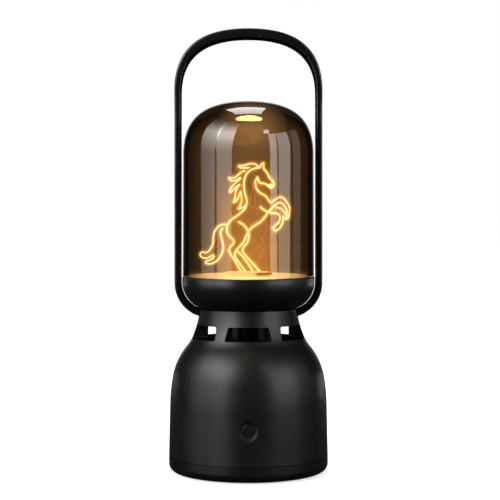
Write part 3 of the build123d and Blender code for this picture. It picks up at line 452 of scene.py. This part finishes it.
# name: colour, roughness
metals = {
    "screw_steel": ((0.55, 0.55, 0.56), 0.35),
    "contact_metal": ((0.7, 0.66, 0.56), 0.25),
}
finishes = {
    **{name: moulded_plastic(name, *look) for name, look in plastics.items()},
    **{name: brushed_metal(name, *look) for name, look in metals.items()},
    "smoked_glass": smoked_glass(),
    "filament_glow": filament_glow(),
    "near_halo": strand_halo("near_halo", near_stops),
    "far_halo": strand_halo("far_halo", far_stops),
    "lit_floor": lit_floor("lit_floor", 1.0, 1.0),
    "painted_light_pedestal": lit_floor("painted_light_pedestal", pedestal_painted_shade, pedestal_tone),
}

# These faces would mirror the white studio at a low angle, where the photograph is black
lose_gloss(finishes["base_black"], upward, dull_top)
lose_gloss(finishes["neck_shaded_black"], upward, dull_top)
lose_gloss(finishes["handle_black"], turned_away, dull_edge)

node_finishes = {
    "base_black": ("base_shell", "button_cap"),
    "cover_black": ("bottom_cover",),
    "handle_black": ("handle",),
    "bowl_black": ("bowl",),
    "dark_plastic": ("battery_cradle",),
    "neck_shaded_black": ("inner_deck", "neck_column"),
    "foot_rubber": ("foot_pads", "dome_gasket"),
    "smoked_glass": ("dome",),
    "filament_glow": ("horse_outline", "horse_underline", "horse_forelegs", "horse_hindlegs",
                      "horse_mane", "horse_tail"),
    "lit_floor": ("floor_plate",),
    "painted_light_pedestal": ("pedestal",),
    "screw_steel": ("cover_screws", "deck_screws", "head_screws", "lamp_board_screws",
                    "switch_board_screws", "main_board_screws"),
    "contact_metal": ("filament_pins", "usb_socket", "cell_tabs"),
    "board_laminate": ("lamp_board", "switch_board", "main_board"),
    "chip_black": ("switch_plunger", "switch_body", "board_parts"),
    "cell_wrap": ("battery_cell",),
    "wire_cover": ("lamp_leads", "battery_leads", "switch_leads"),
}
for finish_name, node_names in node_finishes.items():
    for node_name in node_names:
        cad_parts[node_name].material_slots[0].material = finishes[finish_name]

# The strap would draw dark bands in the glass and the base that the photograph hasn't
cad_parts["handle"].visible_glossy = False


def new_object(name, data):
    """Make an object from its data and put it in the scene."""
    thing = bpy.data.objects.new(name, data)
    bpy.context.scene.collection.objects.link(thing)
    return thing


def line_object(name, lines, layer=0.0):
    """Draw open lines of (x, z) points at the given depth as a curve object."""
    curve = bpy.data.curves.new(name, "CURVE")
    curve.dimensions = "3D"
    for line in lines:
        spline = curve.splines.new("POLY")
        spline.points.add(len(line) - 1)
        for spot, (x, z) in zip(spline.points, line):
            spot.co = (x, layer, z, 1.0)
    return new_object(name, curve)


def plain_mesh(name, shaped):
    """Turn a finished object into a plain mesh piece with outward faces, and remove the source."""
    graph = bpy.context.evaluated_depsgraph_get()
    mesh = bpy.data.meshes.new_from_object(shaped.evaluated_get(graph), depsgraph=graph)
    mesh.name = name
    bpy.data.objects.remove(shaped)
    faces = bmesh.new()
    faces.from_mesh(mesh)
    bmesh.ops.recalc_face_normals(faces, faces=faces.faces)
    faces.to_mesh(mesh)
    faces.free()
    mesh.shade_smooth()
    return new_object(name, mesh)


def shaped_piece(name, drawn, tree, parts):
    """Run a drawn object through a shape tree with the given inputs, into a plain mesh piece."""
    modifier = drawn.modifiers.new("Shape", "NODES")
    modifier.node_group = tree
    for item in tree.interface.items_tree:
        if item.item_type == "SOCKET" and item.in_out == "INPUT" and item.name in parts:
            modifier[item.identifier] = parts[item.name]
    return plain_mesh(name, drawn)


def start_shape(name, inputs):
    """Start a shape tree with the given inputs and a finish. Gives the tree and its inputs."""
    tree = bpy.data.node_groups.new(name, "GeometryNodeTree")
    for label, kind in (*inputs, ("Finish", "NodeSocketMaterial")):
        tree.interface.new_socket(label, in_out="INPUT", socket_type=kind)
    tree.interface.new_socket("Shape", in_out="OUTPUT", socket_type="NodeSocketGeometry")
    return tree, tree.nodes.new("NodeGroupInput").outputs


def end_shape(tree, mesh, finish):
    """End a shape tree: join the mesh at its seams, make it real and give it its finish."""
    joined = add_node(tree, "GeometryNodeMergeByDistance", {"Distance": seam_gap, "Geometry": mesh})
    real = add_node(tree, "GeometryNodeRealizeInstances", {"Geometry": joined.outputs[0]})
    dressed = add_node(tree, "GeometryNodeSetMaterial", {"Geometry": real.outputs[0], "Material": finish})
    tree.links.new(dressed.outputs[0], tree.nodes.new("NodeGroupOutput").inputs[0])
    return tree


def lathe_tree():
    """Node tree that turns an outline, drawn in the XZ plane, round the Z axis."""
    tree, given = start_shape("lathe", (
        ("Outline", "NodeSocketGeometry"), ("Steps Round", "NodeSocketInt"),
        ("Steps Along", "NodeSocketInt")))
    grid = add_node(tree, "GeometryNodeMeshGrid", {
        "Size X": 1.0, "Size Y": 1.0,
        "Vertices X": given["Steps Along"], "Vertices Y": given["Steps Round"]})
    position = tree.nodes.new("GeometryNodeInputPosition").outputs[0]
    across = split(tree, position)
    last = add_math(tree, "SUBTRACT", given["Steps Along"], 1.0)
    share = add_math(tree, "ADD", across["X"], 0.5)
    nearest = add_math(tree, "ROUND", add_math(tree, "MULTIPLY", share, last))
    outline = add_node(tree, "GeometryNodeSampleIndex", {
        "data_type": "FLOAT_VECTOR", "domain": "POINT",
        "Geometry": given["Outline"], "Value": position, "Index": nearest})
    turned = add_node(tree, "ShaderNodeVectorRotate", {
        "rotation_type": "Z_AXIS", "Vector": outline.outputs["Value"],
        "Angle": add_math(tree, "MULTIPLY", across["Y"], 2 * math.pi)})
    placed = add_node(tree, "GeometryNodeSetPosition", {
        "Geometry": grid.outputs["Mesh"], "Position": turned.outputs[0]})
    return end_shape(tree, placed.outputs[0], given["Finish"])


def strand_tree():
    """Node tree that gives lines a round wire body with closed ends."""
    tree, given = start_shape("strand", (
        ("Lines", "NodeSocketGeometry"), ("Radius", "NodeSocketFloat"), ("Steps Round", "NodeSocketInt")))
    ring = add_node(tree, "GeometryNodeCurvePrimitiveCircle", {
        "Resolution": given["Steps Round"], "Radius": given["Radius"]})
    body = add_node(tree, "GeometryNodeCurveToMesh", {
        "Fill Caps": True, "Curve": given["Lines"], "Profile Curve": ring.outputs["Curve"]})
    return end_shape(tree, body.outputs["Mesh"], given["Finish"])


def arch_points(radius, rise, spring):
    """Give points on a dome's rounded shoulder, from its spring up to the axis."""
    corners = ((radius, spring), (radius, spring + arch_fullness * rise),
               (arch_fullness * radius, spring + rise), (0.0, spring + rise))
    points = []
    for step in range(arch_steps + 1):
        t = step / arch_steps
        weights = ((1 - t) ** 3, 3 * t * (1 - t) ** 2, 3 * t * t * (1 - t), t ** 3)
        points.append(tuple(sum(w * corner[i] for w, corner in zip(weights, corners)) for i in (0, 1)))
    return points


def quarter_turn():
    """Give the angles of a quarter round, from 0 to 90 degrees."""
    return [math.radians(90 * step / lip_steps) for step in range(lip_steps + 1)]


def lip_points(centre, start):
    """Give points on a quarter round of the dome's lip, from a start angle in degrees on."""
    angles = [math.radians(start) + turn for turn in quarter_turn()]
    return [(centre[0] + dome_lip_radius * math.cos(angle),
             centre[1] + dome_lip_radius * math.sin(angle)) for angle in angles]


def dome_profile():
    """Give the dome wall's outline, from the axis inside, round the lip, to the axis outside."""
    low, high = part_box("dome")
    outer = (high.x - low.x) / 2
    inner = outer - dome_wall
    spring = high.z - dome_rise
    lip_top = low.z + dome_lip_radius
    lip = lip_points((inner + dome_lip_radius, lip_top), 180)
    lip += lip_points((outer - dome_lip_radius, lip_top), 270)
    down = [(inner, spring - 2 * edge_band), (inner, lip_top + edge_band)]
    up = [(outer, lip_top + edge_band), (outer, spring - 2 * edge_band)]
    inside = arch_points(inner, dome_rise - dome_wall, spring)
    return inside[::-1] + down + lip + up + arch_points(outer, dome_rise, spring)


def pedestal_profile():
    """Give the low pedestal's outline, from its middle over its rounded shoulder to its foot."""
    low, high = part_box("pedestal")
    reach = (high.x - low.x) / 2
    rise = high.z - low.z
    shoulder = [(reach - pedestal_round * (1 - math.sin(turn)), low.z + rise * math.cos(turn))
                for turn in quarter_turn()]
    return [(0.0, high.z)] + shoulder + [(0.0, low.z)]


def turned_piece(name, outline, finish):
    """Turn an outline round the vertical axis into a plain mesh piece."""
    drawn = line_object(name + "_outline", [outline])
    return shaped_piece(name, drawn, lathe, {
        "Steps Round": turn_steps + 1, "Steps Along": len(outline), "Finish": finish})


def rounded_line(points):
    """Round each corner of a line with a short curve that its two runs leave room for."""
    spots = [Vector((x * mm, z * mm)) for x, z in points]
    line = [spots[0]]
    for before, corner, after in zip(spots, spots[1:], spots[2:]):
        reach = bend_share * min((corner - before).length, (after - corner).length)
        start = corner - reach * (corner - before).normalized()
        end = corner + reach * (after - corner).normalized()
        for step in range(bend_steps + 1):
            t = step / bend_steps
            line.append((1 - t) ** 2 * start + 2 * t * (1 - t) * corner + t * t * end)
    return line + [spots[-1]]


def strand_piece(name, lines, layer):
    """Bend strands along the given lines in their layer, standing on the pedestal."""
    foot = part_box("pedestal")[1].z + foot_gap
    raised = [[(spot.x, foot + spot.y) for spot in rounded_line(line)] for line in lines]
    drawn = line_object(name + "_lines", raised, layer)
    return shaped_piece(name, drawn, strands, {
        "Radius": strand_radius, "Steps Round": strand_steps, "Finish": finishes["filament_glow"]})


lathe = lathe_tree()
strands = strand_tree()

glass_dome = turned_piece("glass_dome", dome_profile(), finishes["smoked_glass"])
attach(glass_dome, "lamp")
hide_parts("dome")

pedestal_disc = turned_piece("pedestal_disc", pedestal_profile(), finishes["painted_light_pedestal"])
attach(pedestal_disc, "lamp")
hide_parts("pedestal")

mane_strands = strand_piece("mane_strands", (mane_line, forelock_line), mane_layer)
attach(mane_strands, "lamp")
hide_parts("horse_mane")

outline_strand = strand_piece("outline_strand", (outline_line, lip_line), 0.0)
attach(outline_strand, "lamp")
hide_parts("horse_outline")


def halo_piece(name, reach, grain):
    """Wrap all strands in one smooth closed sleeve that stands off by the given reach."""
    wrap = bmesh.new()
    for strand in glowing:
        wrap.from_mesh(strand.data)
    bmesh.ops.remove_doubles(wrap, verts=wrap.verts, dist=sleeve_seam)
    bmesh.ops.recalc_face_normals(wrap, faces=wrap.faces)
    wrap.normal_update()
    for spot in wrap.verts:
        spot.co += reach * spot.normal
    mesh = bpy.data.meshes.new(name)
    wrap.to_mesh(mesh)
    wrap.free()
    shaped = new_object(name, mesh)
    remesh = shaped.modifiers.new("Join", "REMESH")
    remesh.mode = "VOXEL"
    remesh.voxel_size = grain
    soften = shaped.modifiers.new("Soften", "SMOOTH")
    soften.iterations = soften_rounds
    piece = plain_mesh(name, shaped)
    piece.data.materials.clear()
    piece.data.materials.append(finishes[name])
    piece.visible_diffuse = False
    piece.visible_glossy = False
    piece.visible_shadow = False
    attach(piece, "lamp")


other_strands = ("horse_underline", "horse_forelegs", "horse_hindlegs", "horse_tail")
glowing = [mane_strands, outline_strand] + [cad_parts[name] for name in other_strands]
halo_piece("near_halo", near_reach, near_grain)
halo_piece("far_halo", far_reach, far_grain)


def fade_lamp(lamp, stops, outer_share):
    """Shade a softbox from its lower edge (0) to its upper edge (1), and towards its outer side."""
    lamp.use_nodes = True
    tree = lamp.node_tree
    place = split(tree, tree.nodes.new("ShaderNodeNewGeometry").outputs["Parametric"])
    fill_inputs(tree, tree.nodes["Emission"], {
        "Color": grey_ramp(tree, place["Y"], stops),
        "Strength": value_range(tree, place["X"], outer_share, 1.0)})


def hang_lamp(name, lamp, spot):
    """Put a lamp in its place, where the eye doesn't see it, through glass neither."""
    stand = new_object(name, lamp)
    stand.location = spot
    stand.visible_camera = False
    stand.visible_transmission = False
    return stand


def softbox(name, azimuth, elevation, distance, size, level, fade, outer_share):
    """Place a rectangular lamp that faces the night light. Its level is what a mirror shows of it."""
    lamp = bpy.data.lights.new(name, "AREA")
    lamp.shape = "RECTANGLE"
    lamp.size, lamp.size_y = size
    lamp.energy = level * math.pi * size[0] * size[1]
    if fade:
        fade_lamp(lamp, fade, outer_share)
    turn, lift = math.radians(azimuth), math.radians(elevation)
    away = Vector((math.sin(turn) * math.cos(lift), -math.cos(turn) * math.cos(lift), math.sin(lift)))
    stand = hang_lamp(name, lamp, Vector((0, 0, aim_height)) + distance * away)
    stand.rotation_euler = away.to_track_quat("Z", "Y").to_euler()


def crown_glint():
    """Small warm lamp just over the dome's front shoulder, for the glint at its crown."""
    low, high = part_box("dome")
    lamp = bpy.data.lights.new("crown_glint", "AREA")
    lamp.shape = "ELLIPSE"
    lamp.size, lamp.size_y = glint_size
    lamp.energy = glint_level * math.pi * math.pi * glint_size[0] * glint_size[1] / 4
    lamp.color = glint_colour
    hang_lamp("crown_glint", lamp, (glint_side, low.y - glint_front, high.z + glint_lift))


def backdrop_world():
    """White to the eye and through glass; in gloss, white behind the lamp and a dim room elsewhere."""
    world = bpy.data.worlds.new("studio")
    bpy.context.scene.world = world
    world.use_nodes = True
    tree = world.node_tree
    tree.nodes.clear()
    way = split(tree, tree.nodes.new("ShaderNodeTexCoord").outputs["Generated"])
    behind = value_range(tree, way["Y"], 0.0, 1.0 - room_level, *backdrop_edge)
    above = value_range(tree, way["Z"], 0.0, 1.0, *backdrop_foot)
    room = add_math(tree, "MULTIPLY_ADD", behind, above, room_level)
    glossy = tree.nodes.new("ShaderNodeLightPath").outputs["Is Glossy Ray"]
    unseen = blend(tree, glossy, fill_level, room)
    light = add_node(tree, "ShaderNodeBackground", {
        "Color": white, "Strength": blend(tree, seen_directly(tree), unseen, 1.0)})
    add_node(tree, "ShaderNodeOutputWorld", {"Surface": light.outputs[0]})


def studio_floor():
    """Pale floor: white to the eye and through glass, with a painted contact shadow close under the lamp.
    """
    finish, tree, shader = new_finish("studio_floor")
    away = vector_math(tree, "LENGTH", object_place(tree))["Value"]
    lift = value_range(tree, away, painted_shadow_level, 1.0, *painted_shadow_band)
    fill_inputs(tree, shader, {
        "Base Color": studio_grey,
        "Roughness": 0.9,
        "Specular IOR Level": 0.0,
        "Emission Color": white,
        "Emission Strength": add_math(tree, "MULTIPLY", lift, seen_directly(tree))})
    return finish


def add_floor():
    """Lay a wide round floor under the lamp."""
    mesh = bpy.data.meshes.new("floor")
    disc = bmesh.new()
    bmesh.ops.create_circle(disc, cap_ends=True, radius=studio_radius, segments=studio_steps)
    disc.to_mesh(mesh)
    disc.free()
    mesh.materials.append(studio_floor())
    floor = new_object("floor", mesh)
    floor.visible_glossy = False


def add_camera():
    """Set the level camera whose view is shifted to the photograph's frame."""
    eye = bpy.data.cameras.new("camera")
    eye.lens = camera_lens
    eye.sensor_width = sensor_width
    eye.shift_y = (horizon_row - image_size / 2) / image_size
    eye.clip_end = view_depth
    camera = new_object("camera", eye)
    camera.location = camera_spot
    camera.rotation_euler = (math.radians(90), 0, 0)
    bpy.context.scene.camera = camera


for panel_name, panel in panels.items():
    softbox(panel_name, *panel)
crown_glint()
backdrop_world()
add_floor()
add_camera()
bpy.context.scene.view_settings.view_transform = "Standard"
